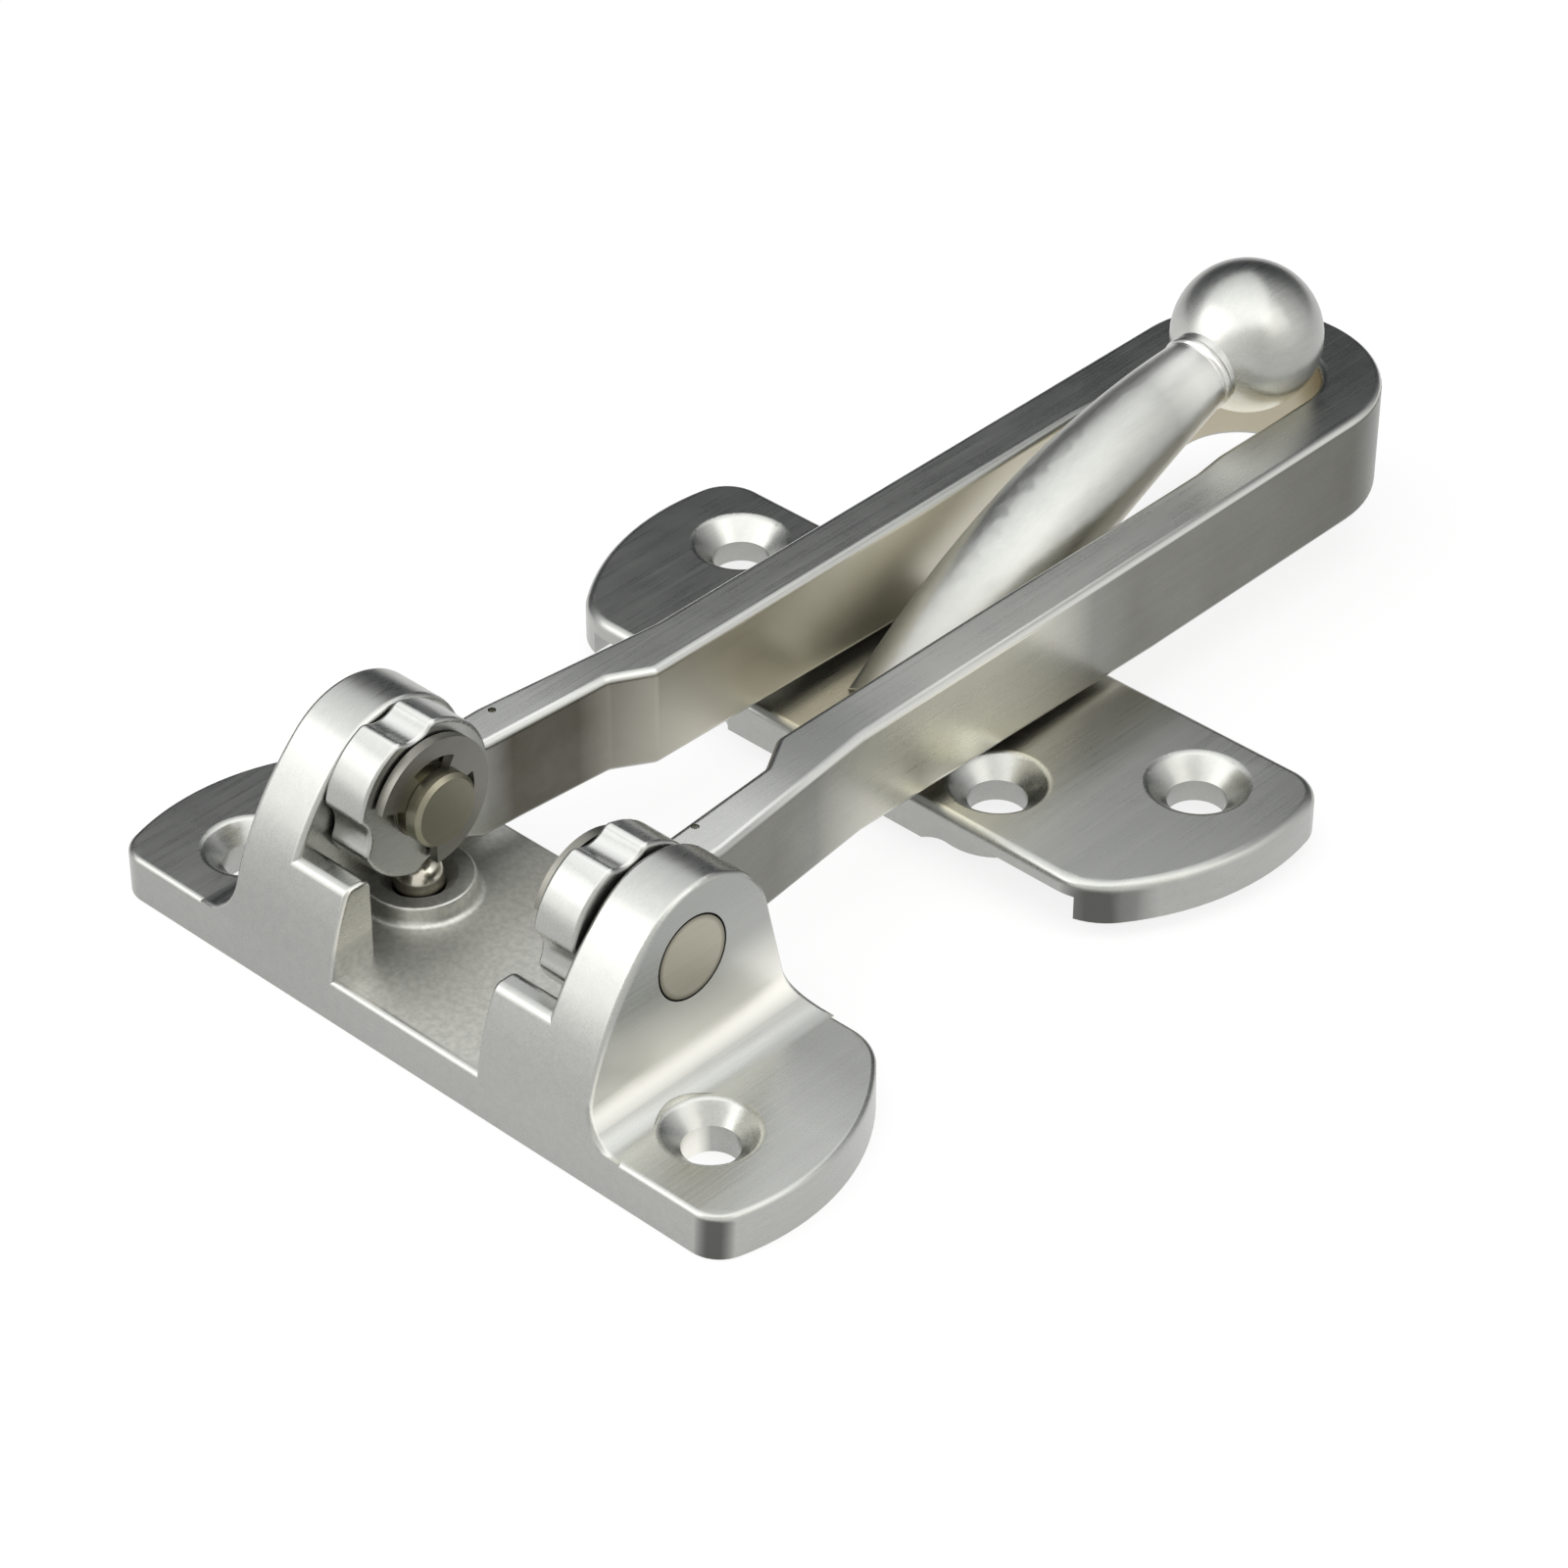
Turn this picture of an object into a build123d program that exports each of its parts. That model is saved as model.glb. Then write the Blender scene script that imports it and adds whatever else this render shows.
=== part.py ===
from build123d import *
import math
import os

# Swing-bar door security latch: a jamb plate that carries the hinge, a swing bar,
# and a keeper plate whose ball arm the bar closes over.
# Sizes are in millimetres. X runs along the plates, Y from the jamb plate's front edge
# towards the bar's loop, and Z up from the jamb plate's underside.

# Hinge axis
pivot_from_front = 13.9
pivot_height = 17.0

# Swing bar
bar_width = 26.6
bar_reach = 118.1
leg_above_axis = 1.9
leg_below_axis = 10.3
slot_width = 15.2
loop_slot_width = 14.3
loop_slot_length = 16.0
slot_step_length = 4.0
leg_edge_round = 0.8
hinge_width = 31.5
hinge_leg_thickness = 4.95
hinge_taper_start = 11.1
hinge_taper_end = 32.1
jog_leg_inside = 9.9
jog_near_end = 22.6
jog_length = 4.0
jog_corner_round = 1.2
leg_heel_angle = 64.0
leg_heel_end = 7.0
leg_heel_drop = 0.6
leg_taper_end = 74.0
leg_mark_diameter = 0.8
leg_mark_depth = 0.4
leg_mark_from_axis = 11.8
leg_mark_inset = 1.5

# Cams on the bar's hinge ends
cam_radius = 7.95
cam_rim_round = 0.45
groove_lip_round = 1.1
detent_clearance = 0.3

# Jamb plate
jamb_width = 80.0
jamb_depth = 27.5
jamb_thickness = 4.7
jamb_widest_line = 9.5
jamb_end_radius = 23.5
jamb_front_corner = 3.5
jamb_back_corner = 6.0
jamb_edge_round = 0.6
jamb_screw_spacing = 59.2
jamb_screw_line = 8.7
jamb_screw_hole = 5.4
jamb_screw_head = 9.0

# Hinge ears on the jamb plate
cam_side_gap = 0.3
ear_base_thickness = 6.75
ear_draft = 1.2
ear_head_behind_pivot = 1.1
ear_head_below_pivot = 1.6
ear_head_radius = 8.9
ear_front_radius = 29.0
ear_back_lean = 12.0
ear_back_curve = 4.8
ear_foot_round = 4.0
ear_edge_round = 0.6

# Stop blocks in front of the cams
block_past_leg = 1.5
block_depth = 5.6
block_leg_gap = 1.6
block_crest_round = 1.2
block_side_round = 0.5

# Detent bosses, balls and springs
detent_behind_pivot = 0.9
boss_radius = 5.4
boss_height = 2.0
boss_foot_round = 0.8
boss_rim_round = 0.3
detent_ball = 5.0
detent_fit = 0.06
detent_travel = 0.9
detent_lobe_gap = 0.1
detent_mouth = 7.4
detent_floor = 0.8
spring_wire = 0.35
spring_radius = 1.7
spring_turns = 3.0

# Pivot pins and their retaining clips
pin_diameter = 7.4
pin_head = 8.1
pin_head_length = 2.5
pin_head_gap = 0.2
pin_head_back_gap = 0.02
pin_running_fit = 0.05
pin_ear_fit = 0.02
pin_stub = 2.9
pin_end_chamfer = 0.4
clip_thickness = 1.0
clip_diameter = 13.4
clip_band = 1.8
clip_mouth = 108.0
clip_mouth_turn = 216.0
clip_prong_angle = 44.0
clip_seat_gap = 0.25
clip_groove_gap = 0.05
clip_groove_radius = 2.8

# Keeper plate
keeper_width = 80.0
keeper_depth = 28.0
keeper_thickness = 4.3
keeper_bar_gap = 0.6
keeper_widest_line = 9.0
keeper_end_radius = 27.0
keeper_far_corner = 4.5
keeper_near_corner = 7.0
keeper_edge_round = 1.0
keeper_screw_hole = 5.8
keeper_screw_head = 9.8
outer_screw_spacing = 59.2
outer_screw_line = 8.1
inner_screw_spacing = 31.6
inner_screw_line = 20.9
pad_half_width = 12.0
foot_inside = 31.0
relief_height = 2.5
relief_depth = 9.0
relief_corner = 2.6
screw_pad_margin = 1.3

# Ball arm on the keeper plate
arm_reach = 34.5
knob_radius = 7.76
knob_above_bar = 4.85
knob_short_of_loop = 1.0
arm_root_line = 14.5
arm_root_slope = 32.0
arm_neck_slope = 5.0
arm_belly_radius = 5.66
arm_belly_from_root = 10.8
arm_neck_radius = 3.95
arm_neck_from_knob = 8.5
arm_sections = 9
collar_radius = 4.15
collar_length = 1.2

# Screw countersinks
countersink_angle = 90.0
countersink_lip_round = 0.9

# Heights and places that follow from the sizes above
leg_top = pivot_height + leg_above_axis
leg_bottom = pivot_height - leg_below_axis
bar_tip = pivot_from_front + bar_reach
loop_centre = bar_tip - bar_width / 2
cam_outside = hinge_width / 2
cam_inside = cam_outside - hinge_leg_thickness
ear_inside = cam_outside + cam_side_gap
ear_outside = ear_inside + ear_base_thickness
ear_head_line = pivot_from_front + ear_head_behind_pivot
ear_head_height = pivot_height - ear_head_below_pivot
block_inside = cam_inside - block_past_leg
boss_top = jamb_thickness + boss_height
detent_side = (cam_inside + cam_outside) / 2
detent_line = pivot_from_front + detent_behind_pivot
detent_rest = pivot_height - cam_radius - detent_lobe_gap - detent_ball / 2
groove_drop = pivot_height - detent_rest - detent_travel
groove_centre = math.hypot(detent_behind_pivot, groove_drop)
groove_turn = math.atan2(detent_behind_pivot, groove_drop)
groove_radius = detent_ball / 2 + detent_clearance
clip_outside = cam_inside - clip_seat_gap
keeper_top = leg_bottom - keeper_bar_gap
keeper_base = keeper_top - keeper_thickness
knob_line = loop_centre - knob_short_of_loop
knob_height = leg_top + knob_above_bar
keeper_far_edge = knob_line - arm_reach
keeper_near_edge = keeper_far_edge - keeper_depth
arm_root = keeper_far_edge - arm_root_line
SIDES = {"left": -1, "right": 1}


# Sketches and tools that several pieces share
def along_x(profile, low, high):
    """Extrudes a sketch drawn in (y, z) from x = low to x = high."""
    return extrude(Plane.YZ.offset(low) * profile, high - low)


def rod(radius, low, high, y, z):
    """A round bar along X."""
    return along_x(Pos(y, z) * Circle(radius), low, high)


def upright(profile, low, high):
    """Extrudes a sketch drawn in (x, y) from z = low to z = high."""
    return extrude(Plane.XY.offset(low) * profile, high - low)


def near(vertices, x, y):
    """The vertex of a flat sketch that lies closest to a point."""
    return min(vertices, key=lambda v: math.hypot(v.X - x, v.Y - y))


def plate_outline(width, depth, widest, end_radius, corner, far_corner):
    """A plate with bulging ends: its straight edge at y = 0, its widest line at y = widest."""
    centre = width / 2 - end_radius
    front = centre + math.sqrt(end_radius ** 2 - widest ** 2)
    back = centre + math.sqrt(end_radius ** 2 - (depth - widest) ** 2)
    side = width / 2
    edges = [
        Line((-front, 0), (front, 0)),
        ThreePointArc((front, 0), (side, widest), (back, depth)),
        Line((back, depth), (-back, depth)),
        ThreePointArc((-back, depth), (-side, widest), (-front, 0)),
    ]
    face = make_face(Curve() + edges)
    for side_sign in SIDES.values():
        face = fillet(near(face.vertices(), side_sign * front, 0), corner)
        face = fillet(near(face.vertices(), side_sign * back, depth), far_corner)
    return face


def screw_hole(hole, head, top, thickness):
    """The space of a countersunk screw with its head at z = top, its lip softly rounded."""
    half_angle = math.radians(countersink_angle / 2)
    drop = (head - hole) / 2 / math.tan(half_angle)
    flare = head / 2 + countersink_lip_round / 2
    corners = [
        (0, top - thickness * 2),
        (hole / 2, top - thickness * 2),
        (hole / 2, top - drop),
        (head / 2, top),
        (flare, top),
        (flare, top + thickness),
        (0, top + thickness),
    ]
    face = make_face(Polyline(*corners, close=True))
    face = fillet(near(face.vertices(), head / 2, top), countersink_lip_round)
    return revolve(Plane.XZ * face, Axis.Z)


def circles_meet(first, first_radius, second, second_radius):
    """The lower of the two points at given distances from two centres, in (y, z)."""
    dy = second[0] - first[0]
    dz = second[1] - first[1]
    gap = math.hypot(dy, dz)
    along = (first_radius ** 2 - second_radius ** 2 + gap ** 2) / (2 * gap)
    across = math.sqrt(first_radius ** 2 - along ** 2)
    y = first[0] + (along * dy + across * dz) / gap
    z = first[1] + (along * dz - across * dy) / gap
    return y, z


# Jamb plate
def ear_profile():
    """Side outline of an ear in (y, z), from the plate's underside to the round head."""
    head = (ear_head_line, ear_head_height)
    toe = (0, jamb_thickness)
    centre = circles_meet(toe, ear_front_radius, head, ear_front_radius - ear_head_radius)
    scale = ear_head_radius / (ear_front_radius - ear_head_radius)
    brow = (
        head[0] + (head[0] - centre[0]) * scale,
        head[1] + (head[1] - centre[1]) * scale,
    )
    toe_angle = math.atan2(toe[1] - centre[1], toe[0] - centre[0]) % math.tau
    brow_angle = math.atan2(brow[1] - centre[1], brow[0] - centre[0]) % math.tau
    half_way = (toe_angle + brow_angle) / 2
    chest = (
        centre[0] + ear_front_radius * math.cos(half_way),
        centre[1] + ear_front_radius * math.sin(half_way),
    )
    lean = math.radians(ear_back_lean)
    crown = (head[0], head[1] + ear_head_radius)
    nape = (
        head[0] + ear_head_radius * math.cos(lean),
        head[1] + ear_head_radius * math.sin(lean),
    )
    heel = (jamb_depth, jamb_thickness)
    waist_height = jamb_thickness + ear_back_curve
    waist = (nape[0] + (nape[1] - waist_height) * math.tan(lean), waist_height)
    down = (math.sin(lean), -math.cos(lean))
    edges = [
        Line((0, 0), toe),
        ThreePointArc(toe, chest, brow),
        ThreePointArc(brow, crown, nape),
        Line(nape, waist),
        TangentArc(waist, heel, tangent=down),
        Line(heel, (jamb_depth, 0)),
        Line((jamb_depth, 0), (0, 0)),
    ]
    return make_face(Curve() + edges)


def ear_section():
    """Cross-section of the right ear in (x, z), with its drafted outside and round foot."""
    top = pivot_height + ear_head_radius * 2
    head_x = ear_outside - (top - jamb_thickness) * math.tan(math.radians(ear_draft))
    foot_x = ear_outside + ear_foot_round
    corners = [
        (ear_inside, 0),
        (ear_inside, top),
        (head_x, top),
        (ear_outside, jamb_thickness),
        (foot_x, jamb_thickness),
        (foot_x, 0),
    ]
    face = make_face(Polyline(*corners, close=True))
    return fillet(near(face.vertices(), ear_outside, jamb_thickness), ear_foot_round)


def ear():
    """The right ear with its outline edges rounded above the plate."""
    side = along_x(ear_profile(), 0, jamb_width)
    section = extrude(Plane.XZ * ear_section(), -jamb_depth)
    solid = side & section
    soft = []
    for edge in solid.edges():
        box = edge.bounding_box()
        above = box.max.Z > jamb_thickness + ear_back_curve + ear_edge_round
        across = box.max.X - box.min.X > ear_base_thickness / 2
        if above and not across:
            soft.append(edge)
    return fillet(soft, ear_edge_round)


def stop_block():
    """The right block that the bar's leg lands on when it is swung right over."""
    crest = pivot_height - leg_above_axis - block_leg_gap
    room = Pos(block_depth / 2, crest / 2) * Rectangle(block_depth, crest)
    solid = along_x(ear_profile() & room, block_inside, ear_inside + ear_base_thickness / 2)
    crest_edges = []
    side_edges = []
    for edge in solid.edges():
        box = edge.bounding_box()
        if box.min.Z > crest - 0.01 and box.max.X - box.min.X > block_side_round:
            crest_edges.append(edge)
    solid = fillet(crest_edges, block_crest_round)
    for edge in solid.edges():
        box = edge.bounding_box()
        if box.max.X < block_inside + 0.01 and box.max.Z > jamb_thickness + 0.01:
            side_edges.append(edge)
    return fillet(side_edges, block_side_round)


def boss():
    """A round boss for one detent ball, standing on the plate at the origin."""
    foot = boss_radius + boss_foot_round * 1.5
    corners = [
        (0, 0),
        (foot, 0),
        (foot, jamb_thickness),
        (boss_radius, jamb_thickness),
        (boss_radius, boss_top),
        (0, boss_top),
    ]
    face = make_face(Polyline(*corners, close=True))
    face = fillet(near(face.vertices(), boss_radius, jamb_thickness), boss_foot_round)
    face = fillet(near(face.vertices(), boss_radius, boss_top), boss_rim_round)
    return revolve(Plane.XZ * face, Axis.Z)


def detent_bore():
    """The blind hole for one ball and its spring, with a bevelled mouth."""
    radius = detent_ball / 2 + detent_fit
    mouth_drop = detent_mouth / 2 - radius
    depth = boss_top - detent_floor
    hole = Pos(0, 0, detent_floor + depth / 2) * Cylinder(radius, depth)
    cone = Pos(0, 0, boss_top - mouth_drop / 2) * Cone(radius, detent_mouth / 2, mouth_drop)
    return hole + cone


def pin_seat():
    """The right ear's bore and the recess round the pin's head."""
    bore = rod(pin_diameter / 2 + pin_ear_fit, 0, jamb_width, pivot_from_front, pivot_height)
    recess_radius = pin_head / 2 + pin_head_gap
    start = pin_head_start() - pin_head_back_gap
    recess = rod(recess_radius, start, jamb_width, pivot_from_front, pivot_height)
    return bore + recess


def pin_head_start():
    """The x of the pin head's inner shoulder, from the drafted face at the pin's height."""
    slope = math.tan(math.radians(ear_draft))
    return ear_outside - (pivot_height - jamb_thickness) * slope - pin_head_length


def jamb_plate():
    outline = plate_outline(
        jamb_width, jamb_depth, jamb_widest_line, jamb_end_radius, jamb_front_corner, jamb_back_corner
    )
    plate = upright(outline, 0, jamb_thickness)
    plate = fillet(plate.faces().sort_by(Axis.Z)[-1].outer_wire().edges(), jamb_edge_round)
    over_plate = upright(outline, 0, pivot_height * 2)
    right = (ear() & over_plate) + stop_block()
    half = Pos(detent_side, detent_line, 0) * boss()
    for piece in (right, half):
        plate = plate + piece + mirror(piece, Plane.YZ)
    for sign in SIDES.values():
        hole = screw_hole(jamb_screw_hole, jamb_screw_head, jamb_thickness, jamb_thickness)
        plate = plate - Pos(sign * jamb_screw_spacing / 2, jamb_screw_line, 0) * hole
        plate = plate - Pos(sign * detent_side, detent_line, 0) * detent_bore()
    seat = pin_seat()
    inner = rod(jamb_width, -ear_inside, ear_inside, pivot_from_front, pivot_height)
    seat = seat - inner
    return plate - seat - mirror(seat, Plane.YZ)


# Swing bar
def bar_outline():
    """Outer outline of the bar seen from above, closed across the hinge end."""
    start = pivot_from_front
    wide = hinge_width / 2
    half = bar_width / 2
    taper_near = pivot_from_front + hinge_taper_start
    taper_far = pivot_from_front + hinge_taper_end
    edges = [
        Polyline((-wide, start), (wide, start), (wide, taper_near), (half, taper_far)),
        Line((half, taper_far), (half, loop_centre)),
        ThreePointArc((half, loop_centre), (0, bar_tip), (-half, loop_centre)),
        Line((-half, loop_centre), (-half, taper_far)),
        Polyline((-half, taper_far), (-wide, taper_near), (-wide, start)),
    ]
    return make_face(Curve() + edges)


def slot_outline():
    """The space between the legs seen from above: wide at the hinge, narrow at the loop."""
    start = pivot_from_front - 1
    hinge_half = cam_inside
    jog_near = pivot_from_front + jog_near_end
    jog_far = jog_near + jog_length
    slot_half = slot_width / 2
    loop_half = loop_slot_width / 2
    step_far = loop_centre - loop_slot_length + slot_step_length / 2
    step_near = step_far - slot_step_length
    cam_back = pivot_from_front + cam_radius
    right = [
        (hinge_half, start),
        (hinge_half, cam_back),
        (jog_leg_inside, jog_near),
        (slot_half, jog_far),
        (slot_half, step_near),
        (loop_half, step_far),
        (loop_half, loop_centre),
    ]
    left = [(-x, y) for x, y in reversed(right)]
    tip = loop_centre + loop_half
    edges = [
        Polyline(*right),
        ThreePointArc(right[-1], (0, tip), left[0]),
        Polyline(*left),
        Line(left[-1], right[0]),
    ]
    face = make_face(Curve() + edges)
    for sign in SIDES.values():
        for x, y in ((jog_leg_inside, jog_near), (slot_half, jog_far)):
            face = fillet(near(face.vertices(), sign * x, y), jog_corner_round)
    return face


def legs():
    """Both legs and the loop that joins them, with all long edges rounded."""
    turn = math.radians(leg_heel_angle)
    reach = cam_radius - cam_rim_round
    side = [
        (pivot_from_front, pivot_height),
        (pivot_from_front + reach * math.cos(turn), pivot_height - reach * math.sin(turn)),
        (pivot_from_front + leg_heel_end, pivot_height - cam_radius - leg_heel_drop),
        (pivot_from_front + leg_taper_end, leg_bottom),
        (bar_tip + bar_width, leg_bottom),
        (bar_tip + bar_width, leg_top),
        (pivot_from_front, leg_top),
    ]
    profile = along_x(make_face(Polyline(*side, close=True)), -jamb_width, jamb_width)
    plan = upright(bar_outline() - slot_outline(), 0, leg_top * 2)
    solid = plan & profile
    return fillet([edge for edge in solid.edges() if is_long_edge(edge)], leg_edge_round)


def is_long_edge(edge):
    """True where a leg's wall meets its top or underside, away from the hinge end."""
    box = edge.bounding_box()
    if box.max.Y < pivot_from_front + leg_edge_round:
        return False
    if box.max.Z - box.min.Z > (leg_top - leg_bottom) / 2:
        return False
    return box.max.Y - box.min.Y > leg_mark_depth / 10


def cam_profile():
    """The cam from the side, round the origin: a disc with three soft detent grooves."""
    face = Face() + Circle(cam_radius)
    for quarter in (1, 2, 3):
        angle = quarter * math.pi / 2 + groove_turn
        groove = Pos(groove_centre * math.cos(angle), groove_centre * math.sin(angle))
        face = face - groove * Circle(groove_radius)
    return fillet(face.vertices(), groove_lip_round)


def cam():
    """The right cam with its rims rounded."""
    disc = along_x(Pos(pivot_from_front, pivot_height) * cam_profile(), cam_inside, cam_outside)
    rims = []
    for edge in disc.edges():
        box = edge.bounding_box()
        if box.max.X - box.min.X < cam_rim_round:
            rims.append(edge)
    return fillet(rims, cam_rim_round)


def swing_bar():
    bar = legs() + cam() + mirror(cam(), Plane.YZ)
    bore = pin_diameter / 2 + pin_running_fit
    bar = bar - rod(bore, -hinge_width, hinge_width, pivot_from_front, pivot_height)
    mark = Cylinder(leg_mark_diameter / 2, leg_mark_depth * 2)
    line = pivot_from_front + leg_mark_from_axis
    bar = bar - Pos(-cam_outside + leg_mark_inset, line, leg_top) * mark
    return bar - Pos(cam_inside + leg_mark_inset / 2, line, leg_top) * mark


# Pivot pins and clips
def pivot_pin():
    """The right pin: head ground flush with the ear, shank, clip groove and free end."""
    end = cam_inside - pin_stub
    shank = rod(pin_diameter / 2, end, jamb_width, pivot_from_front, pivot_height)
    shank = chamfer(shank.edges().sort_by(Axis.X)[0], pin_end_chamfer)
    head = rod(pin_head / 2, pin_head_start(), jamb_width, pivot_from_front, pivot_height)
    groove = rod(
        pin_diameter,
        clip_outside - clip_thickness - clip_groove_gap,
        clip_outside + clip_groove_gap,
        pivot_from_front,
        pivot_height,
    )
    core = rod(clip_groove_radius, 0, jamb_width, pivot_from_front, pivot_height)
    reach = pivot_height * 3
    slope = math.tan(math.radians(ear_draft))
    face_low = ear_outside + jamb_thickness * slope
    face_high = face_low - reach * slope
    keep = [(0, 0), (face_low, 0), (face_high, reach), (0, reach)]
    ground = extrude(Plane.XZ * make_face(Polyline(*keep, close=True)), -jamb_depth * 2)
    return (shank + head - (groove - core)) & ground


def e_clip():
    """The right clip: an open band with three prongs that grip the pin's groove."""
    band = Circle(clip_diameter / 2) - Circle(clip_diameter / 2 - clip_band)
    far = clip_diameter
    half = math.radians(clip_mouth / 2)
    mouth = [(0, 0), (far, -far * math.tan(half)), (far, far * math.tan(half))]
    band = band - make_face(Polyline(*mouth, close=True))
    ring = Circle(clip_diameter / 2 - clip_band / 2) - Circle(clip_groove_radius + clip_groove_gap)
    prong_half = math.radians(clip_prong_angle / 2)
    wedge = [(0, 0), (far, -far * math.tan(prong_half)), (far, far * math.tan(prong_half))]
    wedge = make_face(Polyline(*wedge, close=True))
    end_turn = clip_mouth / 2 + clip_prong_angle / 2
    for turn in (180, end_turn, -end_turn):
        band = band + (ring & (Rot(0, 0, turn) * wedge))
    face = Pos(pivot_from_front, pivot_height) * (Rot(0, 0, clip_mouth_turn) * band)
    return along_x(face, clip_outside - clip_thickness, clip_outside)


# Detent balls and springs
def detent_ball_solid():
    return Pos(detent_side, detent_line, detent_rest) * Sphere(detent_ball / 2)


def detent_spring():
    """A short round-wire spring between the bore's floor and the ball."""
    wire = spring_wire / 2
    reach = detent_ball / 2 + wire
    top = detent_rest - math.sqrt(reach ** 2 - spring_radius ** 2)
    bottom = detent_floor + wire
    height = top - bottom
    path = Helix(height / spring_turns, height, spring_radius)
    section = Plane(origin=path @ 0, z_dir=path % 0) * Circle(wire)
    coil = sweep(section, path=path)
    return Pos(detent_side, detent_line, bottom) * coil


# Keeper plate with its ball arm
def screw_places():
    """Centres of the keeper's four screw holes in (x, y)."""
    places = []
    for sign in SIDES.values():
        places.append((sign * outer_screw_spacing / 2, keeper_far_edge - outer_screw_line))
        places.append((sign * inner_screw_spacing / 2, keeper_far_edge - inner_screw_line))
    return places


def relief():
    """The hollow under the plate's near edge between the middle pad and one end foot."""
    width = foot_inside - pad_half_width
    centre = (foot_inside + pad_half_width) / 2
    hollow = Pos(centre, keeper_near_edge) * Rectangle(width, relief_depth * 2)
    pad = keeper_screw_head / 2 + screw_pad_margin
    for x, y in screw_places():
        if x > 0:
            hollow = hollow - Pos(x, y) * Circle(pad)
    inner = [v for v in hollow.vertices() if v.Y > keeper_near_edge - 0.01]
    hollow = fillet(inner, relief_corner)
    return upright(hollow, keeper_base - relief_height, keeper_base + relief_height)


def keeper_base_plate():
    outline = plate_outline(
        keeper_width,
        keeper_depth,
        keeper_widest_line,
        keeper_end_radius,
        keeper_far_corner,
        keeper_near_corner,
    )
    outline = Pos(0, keeper_far_edge) * mirror(outline, Plane.XZ)
    plate = upright(outline, keeper_base, keeper_top)
    plate = fillet(plate.faces().sort_by(Axis.Z)[-1].outer_wire().edges(), keeper_edge_round)
    hollow = relief()
    return plate - hollow - mirror(hollow, Plane.YZ)


def arm_axis():
    """Centre line of the arm in the plane x = 0, from the plate's top to the knob's centre."""
    start = Vector(0, arm_root, keeper_top)
    end = Vector(0, knob_line, knob_height)
    pull = (end - start).length / 3
    root = math.radians(arm_root_slope)
    neck = math.radians(arm_neck_slope)
    first = start + Vector(0, math.cos(root), math.sin(root)) * pull
    second = end - Vector(0, math.cos(neck), math.sin(neck)) * pull
    return Bezier(start, first, second, end)


def arm_radius(y):
    """The arm swells from its root to its belly and thins towards the neck."""
    belly = arm_root + arm_belly_from_root
    share = (y - belly) / (knob_line - arm_neck_from_knob - belly)
    return arm_belly_radius - (arm_belly_radius - arm_neck_radius) * share ** 2


def arm():
    axis = arm_axis()
    last = 1 - arm_neck_from_knob / axis.length
    sections = []
    start = axis @ 0 - (axis % 0) * keeper_thickness
    sections.append(round_section(start, axis % 0, arm_radius(start.Y)))
    for step in range(arm_sections):
        where = last * step / (arm_sections - 1)
        centre = axis @ where
        sections.append(round_section(centre, axis % where, arm_radius(centre.Y)))
    body = loft(sections)
    neck = Plane(origin=axis @ last, x_dir=(1, 0, 0), z_dir=axis % last)
    stem = extrude(neck * Circle(arm_neck_radius), arm_neck_from_knob)
    collar_at = neck.offset(arm_neck_from_knob - knob_radius)
    collar = collar_at * Cylinder(collar_radius, collar_length)
    collar = fillet(collar.edges(), collar_length * 0.4)
    floor = Pos(0, arm_root, keeper_base - keeper_depth / 2 + relief_height)
    below = floor * Box(keeper_width, keeper_depth * 2, keeper_depth)
    return body + stem + collar - below


def round_section(centre, direction, radius):
    return Plane(origin=centre, x_dir=(1, 0, 0), z_dir=direction) * Circle(radius)


def keeper_plate():
    keeper = keeper_base_plate() + arm()
    keeper = keeper + Pos(0, knob_line, knob_height) * Sphere(knob_radius)
    for x, y in screw_places():
        hole = screw_hole(keeper_screw_hole, keeper_screw_head, keeper_top, keeper_thickness)
        keeper = keeper - Pos(x, y, 0) * hole
    return keeper


# The origin of the finished model is on the jamb plate's underside, midway between
# its two screw holes.
def write(name, solid):
    export_step(Pos(0, -jamb_screw_line, 0) * solid, f"parts/{name}.step")


def main():
    os.makedirs("parts", exist_ok=True)
    write("jamb_plate", jamb_plate())
    write("swing_bar", swing_bar())
    write("keeper_plate", keeper_plate())
    pairs = {
        "pivot_pin": pivot_pin(),
        "e_clip": e_clip(),
        "detent_ball": detent_ball_solid(),
        "detent_spring": detent_spring(),
    }
    for name, right in pairs.items():
        write(f"{name}_right", right)
        write(f"{name}_left", mirror(right, Plane.YZ))


main()
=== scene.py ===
"""Looks of the swing-bar door security latch: satin brushed steel on a white studio floor."""
import math
from collections import namedtuple

import bpy
from mathutils import Euler, Matrix, Vector


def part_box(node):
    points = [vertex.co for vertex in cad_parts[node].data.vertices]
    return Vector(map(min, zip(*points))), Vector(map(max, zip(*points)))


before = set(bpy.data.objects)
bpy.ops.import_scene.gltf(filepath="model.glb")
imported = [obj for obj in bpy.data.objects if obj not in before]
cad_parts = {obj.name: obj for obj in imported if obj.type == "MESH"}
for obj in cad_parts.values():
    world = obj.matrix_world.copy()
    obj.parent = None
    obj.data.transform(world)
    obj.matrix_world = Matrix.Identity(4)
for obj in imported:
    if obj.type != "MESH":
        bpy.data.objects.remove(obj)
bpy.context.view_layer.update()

MM = 0.001

# Two corners closer than this are one corner; an edge bent more than this stays sharp
WELD_DISTANCE = 0.000001
SHARP_ANGLE = 32.0
NORMAL_WEIGHT = 50

# Camera, fitted to the photograph's straight edges and circles
CAMERA_PLACE = Vector((256.6, -234.85, 286.45)) * MM
CAMERA_AZIMUTH = 42.93
CAMERA_ELEVATION = 36.8
CAMERA_ROLL = 0.12
CAMERA_LENS = 114.2
SENSOR = 36.0
CLIP_NEAR = 0.01
CLIP_FAR = 20

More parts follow.
